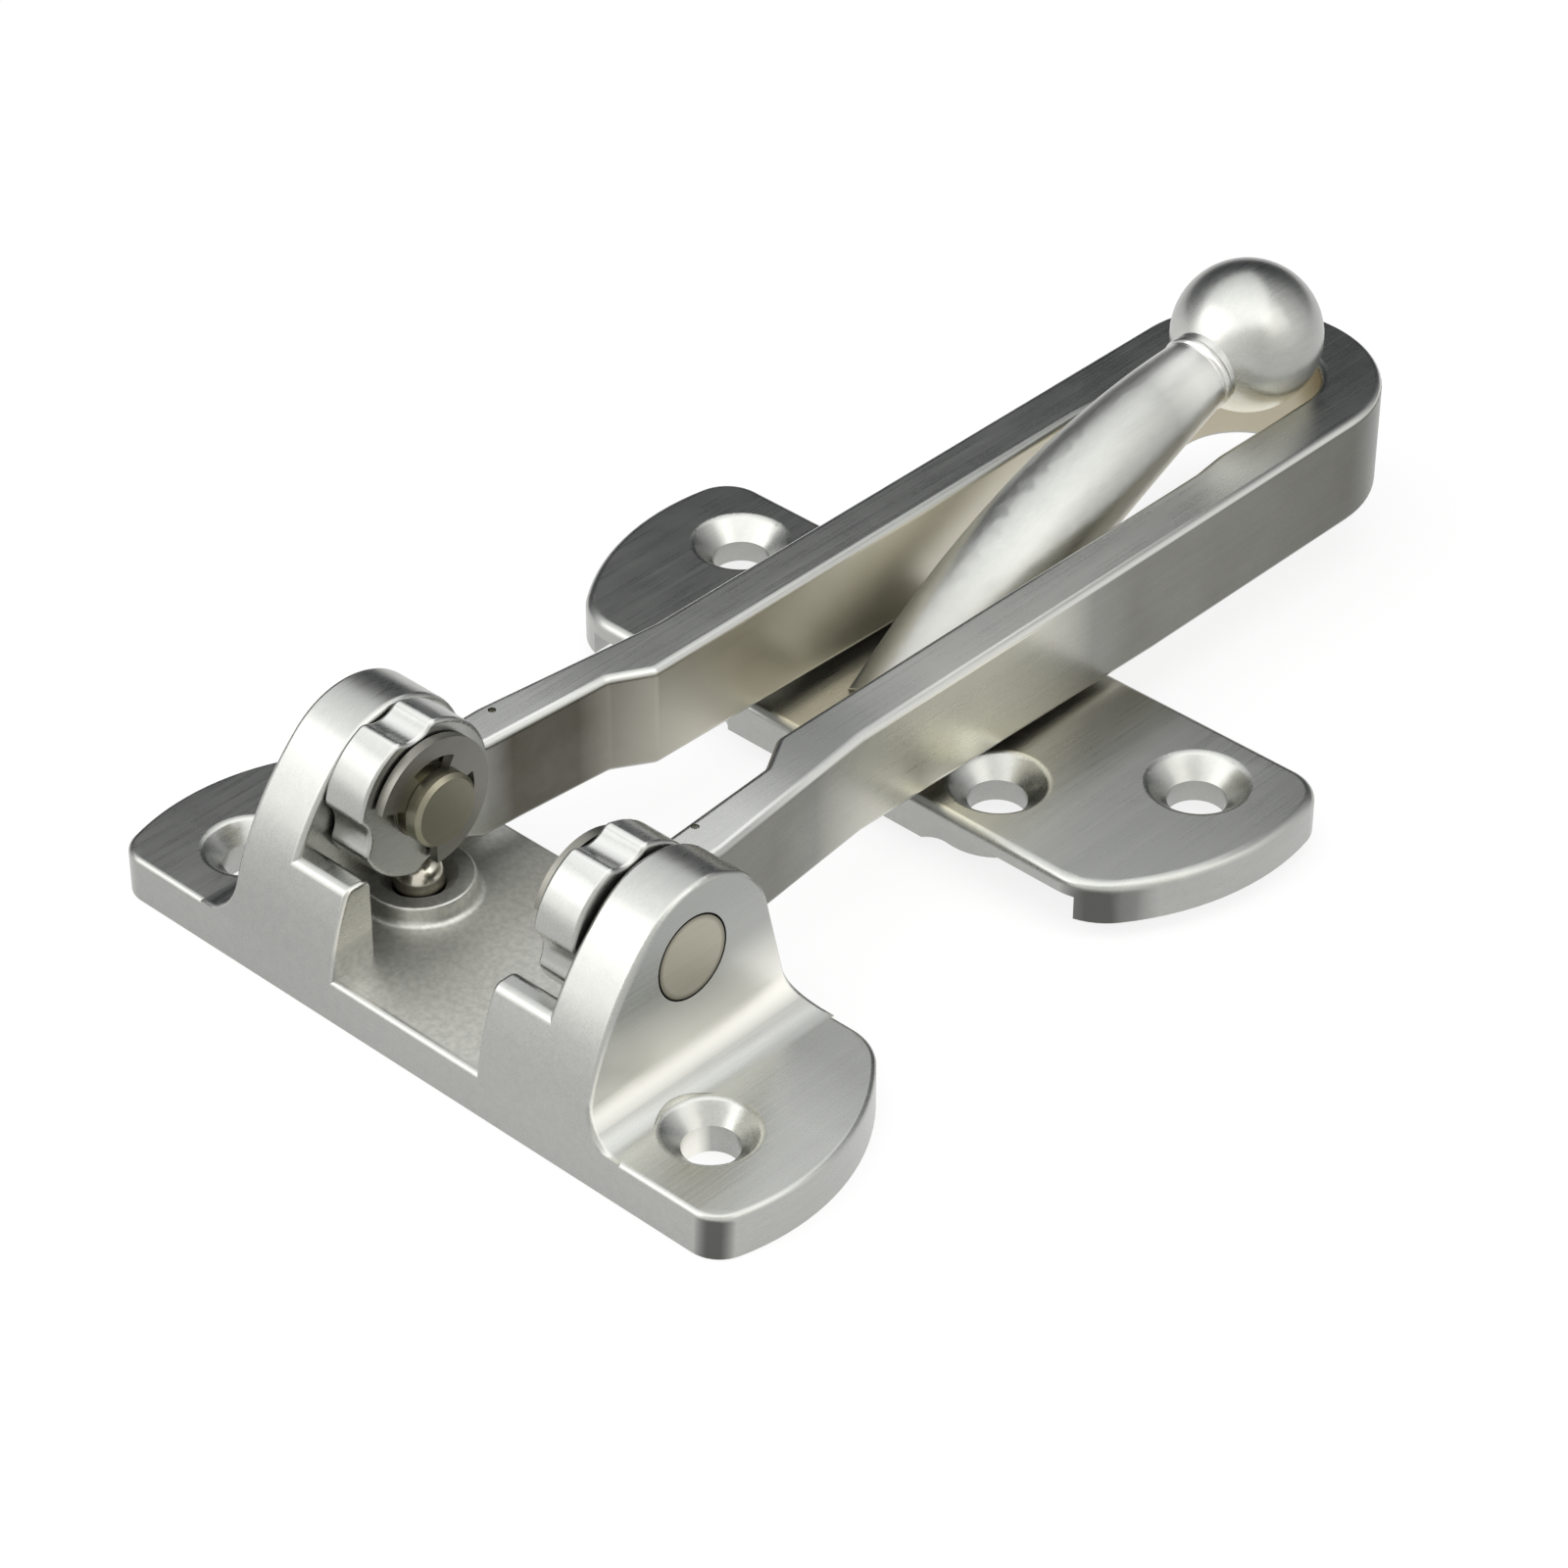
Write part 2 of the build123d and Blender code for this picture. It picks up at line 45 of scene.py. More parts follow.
# Studio floor: how pale it is, and how much of the white it shows by itself
FLOOR_SIZE = 6.0
FLOOR_DROP = 0.0001
FLOOR_TONE = 0.86
FLOOR_GLOW = 0.82

# Tent of light, with its tones from opposite the dark corner (0) to the dark corner (1)
WORLD_STRENGTH = 1.5
DARK_CORNER = (-0.70, 0.70, 0.10)
TENT_TONES = (
    (0.00, (0.62, 0.61, 0.60)),
    (0.18, (0.86, 0.85, 0.83)),
    (0.40, (0.88, 0.88, 0.87)),
    (0.60, (0.64, 0.64, 0.64)),
    (0.78, (0.22, 0.225, 0.23)),
    (0.90, (0.05, 0.054, 0.06)),
    (1.00, (0.02, 0.022, 0.025)),
)

# Lamps: a glow of 1 is as bright as white paper
Lamp = namedtuple("Lamp", "name size glow tint")
FRONT_LAMP = Lamp("side_front_left", (0.62, 0.52), 0.98, (1.0, 0.995, 0.98))
RIGHT_LAMP = Lamp("side_right", (0.50, 0.42), 0.8, (1.0, 0.98, 0.94))
CEILING_LAMP = Lamp("ceiling", (0.40, 0.26), 1.15, (1, 1, 1))

# Azimuth and elevation of each side lamp, seen from the point that both are aimed at
SIDE_LAMPS = {FRONT_LAMP: (238, 28), RIGHT_LAMP: (12, 42)}
SIDE_LAMP_DISTANCE = 0.75
SIDE_LAMP_AIM = Vector((0, 0.05, 0.01))
CEILING_PLACE = Vector((-0.068, -0.018, 0.15))
CEILING_TURN = 60

# Noises: cells per metre across and along the brushing, layers of detail and their roughness
Noise = namedtuple("Noise", "across along detail roughness")
FINE_STREAKS = Noise(3800.0, 60.0, 3.0, 0.6)
BROAD_BANDS = Noise(900.0, 18.0, 3.0, 0.5)
SCRATCHES = Noise(5200.0, 35.0, 1.0, 0.4)
MOTTLING = Noise(140.0, 140.0, 5.0, 0.6)
CLOUDS = Noise(38.0, 38.0, 2.0, 0.5)
CAST_GRAIN = Noise(1500.0, 1500.0, 2.0, 0.6)

# Part of each noise that counts, and each noise's share in the steel's tone
NOISE_SPAN = (0.3, 0.7)
FINE_SHARE = 0.45
BROAD_SHARE = 0.30
CLOUD_SHARE = 0.25
GRIME_SPAN = (0.62, 0.80)
SCRATCH_SPAN = (0.72, 0.80)
SCRATCH_HEIGHTS = (0.0, -1.0)
PATCHY_SPAN = (0.35, 0.70)
PATCHY_RESULT = (0.90, 1.0)
CAST_SPAN = (0.35, 0.65)

# Roughness that the streaks and the mottling add
STREAK_SPAN = (0.2, 0.8)
STREAK_ROUGHNESS = (-0.04, 0.05)
MOTTLE_SPAN = (0.3, 0.8)
MOTTLE_ROUGHNESS = (-0.02, 0.03)

# Bumps: strength, and depth in metres
Bump = namedtuple("Bump", "strength depth")
FINE_BUMP = Bump(0.22, 0.00003)
BROAD_BUMP = Bump(0.07, 0.00006)
SCRATCH_BUMP = Bump(0.05, 0.00002)

# Steels: the two tones that the brushing mixes, the roughness, and how strongly the streaks stand out
Steel = namedtuple("Steel", "pale dark roughness streak")
KEEPER_STEEL = Steel((0.43, 0.435, 0.41), (0.36, 0.365, 0.35), 0.29, 0.30)
JAMB_STEEL = Steel((0.45, 0.455, 0.43), (0.38, 0.385, 0.37), 0.28, 0.50)
BAR_STEEL = Steel((0.42, 0.425, 0.405), (0.35, 0.355, 0.34), 0.28, 0.45)
PIN_STEEL = Steel((0.45, 0.43, 0.35), (0.38, 0.36, 0.29), 0.36, 0.50)
CLIP_STEEL = Steel((0.23, 0.225, 0.20), (0.19, 0.185, 0.165), 0.34, 0.50)
BALL_STEEL = Steel((0.62, 0.59, 0.51), (0.54, 0.52, 0.45), 0.20, 0.40)

# A tone that is painted on one place: its colour, its strength and how it mixes
Tone = namedtuple("Tone", "colour strength mode", defaults=(1.0, "MIX"))
GRIME = Tone((0.20, 0.185, 0.15), 0.10)

# Tilts of a surface: the part of its normal that points up or down
SIDE_TILT = (0.20, 0.55)
EDGE_NEAR_SIDE = (0.25, 0.45)
EDGE_NEAR_TOP = (0.80, 0.96)
TOP_TILT = (0.85, 0.97)
FLAT_TILT = (0.90, 0.97)
UNDERSIDE_TILT = (-0.65, -0.10)

# Swing bar: its width at the loop, places along it and across it, and their tones of painted shade,
# painted reflection and painted highlight
BAR_WIDTH = 0.0266
LOOP_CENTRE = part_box("swing_bar")[1].y - BAR_WIDTH / 2
BEHIND_CAMS = (0.010, 0.016)
OUTWARD_TURN = (-0.001, 0.001)
PATCH_LINE = 0.050
PALE_PATCH_SPAN = (0.004, 0.020)
PATCH_SURROUND = (0.006, 0.026)
LOOP_SIDE_START = (0.085, 0.112)
HINGE_SHADE_END = (0.024, 0.042)
LOOP_INSIDE_START = (0.098, 0.112)
PALE_EDGE_START = (0.020, 0.030)
PALE_EDGE_INWARD = (0.3, 1.0)
TOP_HIGHLIGHT_END = (0.021, 0.029)
RIGHT_LEG = (0.0, 0.004)
JOG_LINE = 0.034
BESIDE_JOG = (0.002, 0.007)
PALE_TOP_START = (0.040, 0.050)
PALE_TOP_END = (0.085, 0.105)
INNER_ROUGHNESS = 0.10
SHADED_OUTER_SIDE = Tone((0.45, 0.44, 0.41), 1.0, "MULTIPLY")
LOOP_SIDE_SHADE = Tone((0.40, 0.40, 0.38), 0.5, "MULTIPLY")
SIDE_REFLECTION_PATCH = Tone((0.86, 0.84, 0.72), 0.95)
HINGE_SHADE_INSIDE = Tone((0.23, 0.21, 0.165), 1.0, "MULTIPLY")
WARM_REFLECTION_INSIDE = Tone((0.74, 0.70, 0.58), 0.8)
LOOP_INSIDE_SHADE = Tone((0.74, 0.70, 0.62), 0.8, "MULTIPLY")
EDGE_HIGHLIGHT = Tone((0.66, 0.66, 0.63), 0.65)
TOP_HIGHLIGHT = Tone((0.62, 0.625, 0.60))
JOG_SHADE = Tone((0.27, 0.275, 0.265), 0.6)
TOP_REFLECTION = Tone((0.61, 0.61, 0.57), 0.85)

# Painted reflection: the rounded front corners of both plates darkened where they would mirror something
# dark at this azimuth
DARK_REFLECTION = 305
CORNER_TURN = (0.85, 0.985)
CORNER_ACROSS = (0.022, 0.024)
CORNER_DEPTH = (0.004, 0.006)
CORNER_TOP = (0.0080, 0.0085)
DARK_CORNER_REFLECTION = Tone((0.07, 0.07, 0.065), 0.9)

# Keeper plate: places along it and heights on it, and their tones of painted highlight, painted
# reflection and painted shade
KEEPER_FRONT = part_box("keeper_plate")[0].y
ABOVE_KEEPER = (0.0068, 0.0085)
ARM_ROOT = (0.057, 0.070)
ARM_END = (0.0985, 0.1000)
ARM_DARK_SIDE = (-0.7, 0.7, 0.0)
ARM_DARK_TURN = (0.10, 0.60)
ARM_ROUGHNESS = 0.10
NECK_LINE = 0.0985
NECK_SPAN = (0.001, 0.0055)
NECK_HEIGHT = (0.016, 0.020)
KNOB_HEIGHT = (0.012, 0.016)
BESIDE_BAR = (0.014, 0.021)
PLATE_HEIGHT = (0.008, 0.012)
ARM_HIGHLIGHT = Tone((0.86, 0.86, 0.83), 0.8)
NECK_HIGHLIGHT = Tone((0.74, 0.74, 0.71), 0.75)
UNDERSIDE_REFLECTION = Tone((0.88, 0.84, 0.68), 0.9)
ROOT_SHADE = Tone((0.25, 0.25, 0.235), 0.6)
WARM_REFLECTION_BY_BAR = Tone((0.62, 0.58, 0.46), 0.45)

# Jamb plate: places across it, along it and heights on it, and their tones: the cast skin's colours,
# painted light and painted shade
JAMB_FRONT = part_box("jamb_plate")[0].y
BETWEEN_EARS = (0.0155, 0.0162)
FLOOR_HEIGHT = (0.0070, 0.0080)
FRONT_LIP = (-0.0082, -0.0078)
BLOCK_TURN = (-0.9, -0.5)
EAR_TURN = (0.70, 0.95)
EAR_START = (0.0190, 0.0205)
EAR_END = (0.028, 0.030)
EAR_FOOT = (0.0080, 0.0155)
EAR_HEAD = (0.013, 0.022)
FRONT_TURN = (-0.95, -0.80)
FRONT_ACROSS = (-0.020, 0.020)
FRONT_SHADES = (0.22, 0.10)
FRONT_HEIGHT = (0.008, 0.018)
WING_HEIGHT = (0.005, 0.006)
LEFT_WING = (-0.028, -0.020)
RIGHT_WING = (0.020, 0.028)
RIGHT_WING_BACK = (0.006, 0.014)
CAST_SKIN_STRENGTH = 0.85
CAST_SKIN_ROUGHNESS = 0.20
EAR_FOOT_ROUGHNESS = 0.10
CAST_DARK = (0.50, 0.50, 0.47)
CAST_PALE = (0.62, 0.62, 0.58)
LIT_BLOCK_SIDE = Tone((0.66, 0.65, 0.59), 0.9)
FOOT_HIGHLIGHT = Tone((0.97, 0.96, 0.89))
HEAD_SHADE = Tone((0.30, 0.31, 0.295), 0.65)
FRONT_SHADE = Tone((0.10, 0.10, 0.095))
LEFT_WING_SHADE = Tone((0.05, 0.052, 0.05), 0.22)
RIGHT_WING_SHADE = Tone((0.05, 0.052, 0.05), 0.25)

# Pins: their axis, and the places of their darker inner ends and of the line round their heads
pin_low, pin_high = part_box("pivot_pin_left")
PIVOT = (pin_low + pin_high) / 2
INNER_END = (0.012, 0.016)
HEAD_START = (0.018, 0.019)
HEAD_LINE = (0.00355, 0.0040)
DARKER_END = Tone((0.42, 0.42, 0.36), 0.75, "MULTIPLY")
DARK_LINE = Tone((0.16, 0.15, 0.12), 0.8)


# Normals
def smoothing_group():
    """Joins split corners, marks edges over an angle as sharp and smooths the rest."""
    group = bpy.data.node_groups.new("smooth_by_angle", "GeometryNodeTree")
    group.interface.new_socket("Geometry", in_out="INPUT", socket_type="NodeSocketGeometry")
    group.interface.new_socket("Geometry", in_out="OUTPUT", socket_type="NodeSocketGeometry")
    entry = group.nodes.new("NodeGroupInput")
    leave = group.nodes.new("NodeGroupOutput")
    merge = group.nodes.new("GeometryNodeMergeByDistance")
    merge.inputs["Distance"].default_value = WELD_DISTANCE
    angle = group.nodes.new("GeometryNodeInputMeshEdgeAngle")
    compare = group.nodes.new("FunctionNodeCompare")
    compare.operation = "GREATER_THAN"
    compare.inputs["B"].default_value = math.radians(SHARP_ANGLE)
    normals = group.nodes.new("GeometryNodeSetMeshNormal")
    normals.mode = "SHARPNESS"
    normals.inputs["Remove Custom"].default_value = True
    group.links.new(entry.outputs[0], merge.inputs["Geometry"])
    group.links.new(merge.outputs[0], normals.inputs["Mesh"])
    group.links.new(angle.outputs[0], compare.inputs["A"])
    group.links.new(compare.outputs[0], normals.inputs["Edge Sharpness"])
    group.links.new(normals.outputs[0], leave.inputs[0])
    return group


def smooth_normals(objects):
    group = smoothing_group()
    for obj in objects:
        smoother = obj.modifiers.new("smooth_by_angle", "NODES")
        smoother.node_group = group
        weighted = obj.modifiers.new("weighted_normals", "WEIGHTED_NORMAL")
        weighted.mode = "FACE_AREA"
        weighted.weight = NORMAL_WEIGHT
        weighted.keep_sharp = True


# Material building blocks
class Nodes:
    """A material's node tree with short calls for the nodes used here."""

    def __init__(self, name):
        self.material = bpy.data.materials.new(name)
        self.material.use_nodes = True
        self.tree = self.material.node_tree
        self.tree.nodes.clear()
        self.output = self.tree.nodes.new("ShaderNodeOutputMaterial")

    def add(self, kind, **inputs):
        node = self.tree.nodes.new(kind)
        for key, value in inputs.items():
            self.feed(node, key.replace("_", " "), value)
        return node

    def feed(self, node, key, value):
        socket = node.inputs[key]
        if isinstance(value, bpy.types.NodeSocket):
            self.tree.links.new(value, socket)
        else:
            socket.default_value = value

    def maths(self, operation, *values):
        node = self.tree.nodes.new("ShaderNodeMath")
        node.operation = operation
        for index, value in enumerate(values):
            self.feed(node, index, value)
        return node.outputs["Value"]

    def times(self, first, *others):
        """The product of two or more values."""
        for other in others:
            first = self.maths("MULTIPLY", first, other)
        return first

    def distance(self, value, mark):
        return self.maths("ABSOLUTE", self.maths("SUBTRACT", value, mark))

    def spread(self, value, span, result):
        """Maps a span of the value to a span of results, and holds the ends."""
        node = self.add("ShaderNodeMapRange", Value=value)
        node.inputs["From Min"].default_value, node.inputs["From Max"].default_value = span
        node.inputs["To Min"].default_value, node.inputs["To Max"].default_value = result
        return node.outputs["Result"]

    def rise(self, value, span):
        return self.spread(value, span, (0.0, 1.0))

    def fall(self, value, span):
        return self.spread(value, span, (1.0, 0.0))

    def coordinates(self, kind):
        """Object gives places in metres, and Normal the surface's direction."""
        return self.add("ShaderNodeTexCoord").outputs[kind]

    def axes(self, kind):
        return self.add("ShaderNodeSeparateXYZ", Vector=self.coordinates(kind)).outputs

    def facing(self, direction):
        """How far the surface faces a direction: 1 where it faces it squarely."""
        node = self.tree.nodes.new("ShaderNodeVectorMath")
        node.operation = "DOT_PRODUCT"
        self.feed(node, 0, self.coordinates("Normal"))
        self.feed(node, 1, direction)
        return node.outputs["Value"]

    def noise(self, noise):
        """Noise that is drawn out along Y where it has fewer cells that way."""
        scale = (noise.across, noise.along, noise.across)
        stretched = self.add("ShaderNodeMapping", Vector=self.coordinates("Object"), Scale=scale)
        node = self.add(
            "ShaderNodeTexNoise",
            Vector=stretched.outputs["Vector"],
            Scale=1.0,
            Detail=noise.detail,
            Roughness=noise.roughness,
        )
        return node.outputs["Fac"]

    def blend(self, factor, first, second, mode="MIX"):
        node = self.tree.nodes.new("ShaderNodeMix")
        node.data_type = "RGBA"
        node.blend_type = mode
        for key, value in ((0, factor), (6, first), (7, second)):
            self.feed(node, key, (*value, 1.0) if isinstance(value, tuple) else value)
        return node.outputs[2]

    def paint(self, colour, where, tone):
        """Mixes a tone into the colour on one place."""
        return self.blend(self.times(where, tone.strength), colour, tone.colour, tone.mode)

    def bump(self, height, bump, share, normal=None):
        node = self.add(
            "ShaderNodeBump", Strength=bump.strength * share, Distance=bump.depth, Height=height
        )
        if normal is not None:
            self.feed(node, "Normal", normal)
        return node.outputs["Normal"]

    def finish(self, shader):
        self.tree.links.new(shader.outputs[0], self.output.inputs["Surface"])
        return self.material


# Steel
def brushed_steel(name, steel, local=None):
    """Satin steel brushed along Y: fine streaks, soft mottling and faint scratches."""
    n = Nodes(name)
    streaks = n.noise(FINE_STREAKS)
    bands = n.noise(BROAD_BANDS)
    cloud = n.noise(CLOUDS)
    mottle = n.noise(MOTTLING)
    scratches = n.spread(n.noise(SCRATCHES), SCRATCH_SPAN, SCRATCH_HEIGHTS)
    tone = n.maths(
        "ADD",
        n.spread(streaks, NOISE_SPAN, (0.0, FINE_SHARE)),
        n.spread(bands, NOISE_SPAN, (0.0, BROAD_SHARE)),
    )
    tone = n.maths("ADD", tone, n.spread(cloud, NOISE_SPAN, (0.0, CLOUD_SHARE)))
    colour = n.blend(tone, steel.dark, steel.pale)
    colour = n.paint(colour, n.rise(mottle, GRIME_SPAN), GRIME)
    smoothest, roughest = STREAK_ROUGHNESS
    roughness = n.maths(
        "ADD",
        n.spread(streaks, STREAK_SPAN, (steel.roughness + smoothest, steel.roughness + roughest)),
        n.spread(mottle, MOTTLE_SPAN, MOTTLE_ROUGHNESS),
    )
    if local is not None:
        colour, roughness = local(n, colour, roughness)
    normal = n.bump(streaks, FINE_BUMP, steel.streak)
    normal = n.bump(bands, BROAD_BUMP, steel.streak, normal)
    normal = n.bump(scratches, SCRATCH_BUMP, steel.streak, normal)
    shader = n.add(
        "ShaderNodeBsdfPrincipled",
        Base_Color=colour,
        Metallic=1.0,
        Roughness=roughness,
        Normal=normal,
    )
    return n.finish(shader)


# Local tones: painted light and shade on the steel, with the jamb's cast skin and the pins' darker ends
def bar_places(n, colour, roughness):
    """Painted shade darkens the sides below the tops, most inside by the hinge and round the loop;
    painted reflections and painted highlights make patches, edges and tops paler.
    """
    normal = n.axes("Normal")
    place = n.axes("Object")
    along = place["Y"]
    upward = n.maths("ABSOLUTE", normal["Z"])
    past_loop = n.maths("MAXIMUM", n.maths("SUBTRACT", along, LOOP_CENTRE), 0.0)
    outward = n.maths("ADD", n.times(normal["X"], place["X"]), n.times(normal["Y"], past_loop))
    side = n.times(n.fall(upward, SIDE_TILT), n.rise(along, BEHIND_CAMS))
    outer = n.times(side, n.rise(outward, OUTWARD_TURN))
    inner = n.times(side, n.fall(outward, OUTWARD_TURN))
    patchy = n.spread(n.noise(MOTTLING), PATCHY_SPAN, PATCHY_RESULT)
    from_patch = n.distance(along, PATCH_LINE)
    # Painted shade: the outer sides darker than the tops away from their middle, a little patchy
    colour = n.paint(colour, n.times(outer, n.rise(from_patch, PATCH_SURROUND), patchy), SHADED_OUTER_SIDE)
    # Painted shade: the outer sides darker still round the loop
    colour = n.paint(colour, n.times(outer, n.rise(along, LOOP_SIDE_START)), LOOP_SIDE_SHADE)
    # Painted reflection: a warm pale patch half way along the outer sides
    colour = n.paint(colour, n.times(outer, n.fall(from_patch, PALE_PATCH_SPAN)), SIDE_REFLECTION_PATCH)
    # Painted shade: the inner faces dark by the hinge, a little patchy
    colour = n.paint(colour, n.times(inner, n.fall(along, HINGE_SHADE_END), patchy), HINGE_SHADE_INSIDE)
    # Painted reflection: the inner faces warm and pale past the hinge
    colour = n.paint(colour, n.times(inner, n.rise(along, HINGE_SHADE_END)), WARM_REFLECTION_INSIDE)
    # Painted shade: the inner faces darker round the loop
    colour = n.paint(colour, n.times(inner, n.rise(along, LOOP_INSIDE_START)), LOOP_INSIDE_SHADE)
    # Painted highlight: the rounded edges between tops and sides paler, most on the outer edges
    edge = n.times(
        n.rise(upward, EDGE_NEAR_SIDE),
        n.fall(upward, EDGE_NEAR_TOP),
        n.rise(along, PALE_EDGE_START),
        n.spread(outward, OUTWARD_TURN, PALE_EDGE_INWARD),
    )
    colour = n.paint(colour, edge, EDGE_HIGHLIGHT)
    top = n.rise(normal["Z"], TOP_TILT)
    # Painted highlight: the tops paler near the hinge
    colour = n.paint(colour, n.times(top, n.fall(along, TOP_HIGHLIGHT_END)), TOP_HIGHLIGHT)
    right_top = n.times(top, n.rise(place["X"], RIGHT_LEG))
    # Painted shade: the right leg's top darker beside the jog
    by_jog = n.fall(n.distance(along, JOG_LINE), BESIDE_JOG)
    colour = n.paint(colour, n.times(right_top, by_jog), JOG_SHADE)
    # Painted reflection: the right leg's top paler along its middle stretch
    pale = n.times(n.rise(along, PALE_TOP_START), n.fall(along, PALE_TOP_END))
    colour = n.paint(colour, n.times(right_top, pale), TOP_REFLECTION)
    return colour, n.maths("ADD", roughness, n.times(inner, INNER_ROUGHNESS))


def dark_corners(n, colour, place, front):
    """Painted reflection: the rounded corners by a plate's front edge darkened as if they mirrored
    something dark.
    """
    turn = math.radians(DARK_REFLECTION)
    corner = n.times(
        n.rise(n.facing((math.cos(turn), math.sin(turn), 0.0)), CORNER_TURN),
        n.rise(n.maths("ABSOLUTE", place["X"]), CORNER_ACROSS),
        n.fall(n.maths("SUBTRACT", place["Y"], front), CORNER_DEPTH),
        n.fall(place["Z"], CORNER_TOP),
    )
    return n.paint(colour, corner, DARK_CORNER_REFLECTION)


def keeper_places(n, colour, roughness):
    """The arm is satin, with painted highlights on its side towards the dark corner and at the neck;
    painted warm reflections on the knob's underside and on the plate by the bar, and painted shade at
    the arm's root.
    """
    normal = n.axes("Normal")
    place = n.axes("Object")
    above_plate = n.rise(place["Z"], ABOVE_KEEPER)
    arm = n.times(n.fall(place["Y"], ARM_END), above_plate)
    # Painted highlight: the arm paler on its side towards the dark corner
    colour = n.paint(colour, n.times(arm, n.rise(n.facing(ARM_DARK_SIDE), ARM_DARK_TURN)), ARM_HIGHLIGHT)
    # Painted highlight: the neck paler
    neck = n.times(
        n.fall(n.distance(place["Y"], NECK_LINE), NECK_SPAN), n.rise(place["Z"], NECK_HEIGHT)
    )
    colour = n.paint(colour, neck, NECK_HIGHLIGHT)
    # Painted reflection: the knob's underside warm and pale
    underside = n.times(n.fall(normal["Z"], UNDERSIDE_TILT), n.rise(place["Z"], KNOB_HEIGHT))
    colour = n.paint(colour, underside, UNDERSIDE_REFLECTION)
    # Painted shade: the arm darker by its root
    colour = n.paint(colour, n.times(n.fall(place["Y"], ARM_ROOT), above_plate), ROOT_SHADE)
    # Painted reflection: the plate's flat top warm beside the bar
    beside_bar = n.times(
        n.fall(n.maths("ABSOLUTE", place["X"]), BESIDE_BAR),
        n.rise(normal["Z"], FLAT_TILT),
        n.fall(place["Z"], PLATE_HEIGHT),
    )
    colour = n.paint(colour, beside_bar, WARM_REFLECTION_BY_BAR)
    # Painted reflection: dark front corners
    colour = dark_corners(n, colour, place, KEEPER_FRONT)
    return colour, n.maths("ADD", roughness, n.times(arm, ARM_ROUGHNESS))


def jamb_places(n, colour, roughness):
    """Between the ears the plate keeps a grainy cast skin; painted light on the blocks' inward faces and
    on the ears' sides at the foot, painted shade on the ears' heads, the front and the wings.
    """
    normal = n.axes("Normal")
    place = n.axes("Object")
    across = n.maths("ABSOLUTE", place["X"])
    between_ears = n.fall(across, BETWEEN_EARS)
    low = n.fall(place["Z"], FLOOR_HEIGHT)
    floor = n.times(between_ears, low, n.rise(place["Y"], FRONT_LIP))
    skin = n.blend(n.rise(n.noise(CAST_GRAIN), CAST_SPAN), CAST_DARK, CAST_PALE)
    colour = n.blend(n.times(floor, CAST_SKIN_STRENGTH), colour, skin)
    outward = n.times(normal["X"], n.maths("SIGN", place["X"]))
    high = n.maths("SUBTRACT", 1.0, low)
    # Painted light: the blocks' inward faces between the ears paler
    colour = n.paint(colour, n.times(between_ears, high, n.fall(outward, BLOCK_TURN)), LIT_BLOCK_SIDE)
    ear = n.times(n.rise(outward, EAR_TURN), n.rise(across, EAR_START), n.fall(across, EAR_END))
    # Painted highlight: the ears' outer sides pale near the foot
    foot = n.times(ear, n.fall(place["Z"], EAR_FOOT))
    colour = n.paint(colour, foot, FOOT_HIGHLIGHT)
    # Painted shade: the ears' outer sides darker at the head
    colour = n.paint(colour, n.times(ear, n.rise(place["Z"], EAR_HEAD)), HEAD_SHADE)
    front = n.times(
        n.fall(normal["Y"], FRONT_TURN),
        n.fall(place["Z"], FRONT_HEIGHT),
        n.spread(place["X"], FRONT_ACROSS, FRONT_SHADES),
    )
    colour = n.paint(colour, front, FRONT_SHADE)
    wing = n.times(n.rise(normal["Z"], FLAT_TILT), n.fall(place["Z"], WING_HEIGHT))
    colour = n.paint(colour, n.times(wing, n.fall(place["X"], LEFT_WING)), LEFT_WING_SHADE)
    right_back = n.times(n.rise(place["X"], RIGHT_WING), n.rise(place["Y"], RIGHT_WING_BACK))
    colour = n.paint(colour, n.times(wing, right_back), RIGHT_WING_SHADE)
    # Painted reflection: dark front corners
    colour = dark_corners(n, colour, place, JAMB_FRONT)
    roughness = n.maths("ADD", roughness, n.times(floor, CAST_SKIN_ROUGHNESS))
    return colour, n.maths("ADD", roughness, n.times(foot, EAR_FOOT_ROUGHNESS))


def pin_places(n, colour, roughness):
    """The inner ends are darker, and a dark line runs round each head."""
    place = n.axes("Object")
    across = n.maths("ABSOLUTE", place["X"])
    # The inner ends darker
    colour = n.paint(colour, n.fall(across, INNER_END), DARKER_END)
    ahead = n.maths("SUBTRACT", place["Y"], PIVOT.y)
    above = n.maths("SUBTRACT", place["Z"], PIVOT.z)
    from_axis = n.maths("SQRT", n.maths("ADD", n.times(ahead, ahead), n.times(above, above)))
    line = n.times(n.rise(from_axis, HEAD_LINE), n.rise(across, HEAD_START))
    return n.paint(colour, line, DARK_LINE), roughness


def dress_steel(nodes):
    """Gives each CAD node its finish."""
    clip = brushed_steel("clip_steel", CLIP_STEEL)
    looks = {
        "jamb_plate": brushed_steel("jamb_steel", JAMB_STEEL, jamb_places),
        "swing_bar": brushed_steel("bar_steel", BAR_STEEL, bar_places),
        "keeper_plate": brushed_steel("keeper_steel", KEEPER_STEEL, keeper_places),
        "pivot_pin": brushed_steel("pin_steel", PIN_STEEL, pin_places),
        "e_clip": clip,
        "detent_ball": brushed_steel("ball_steel", BALL_STEEL),
        "detent_spring": clip,
    }
    for name, node in nodes.items():
        look = next(look for piece, look in looks.items() if name.startswith(piece))
        node.data.materials.clear()
        node.data.materials.append(look)


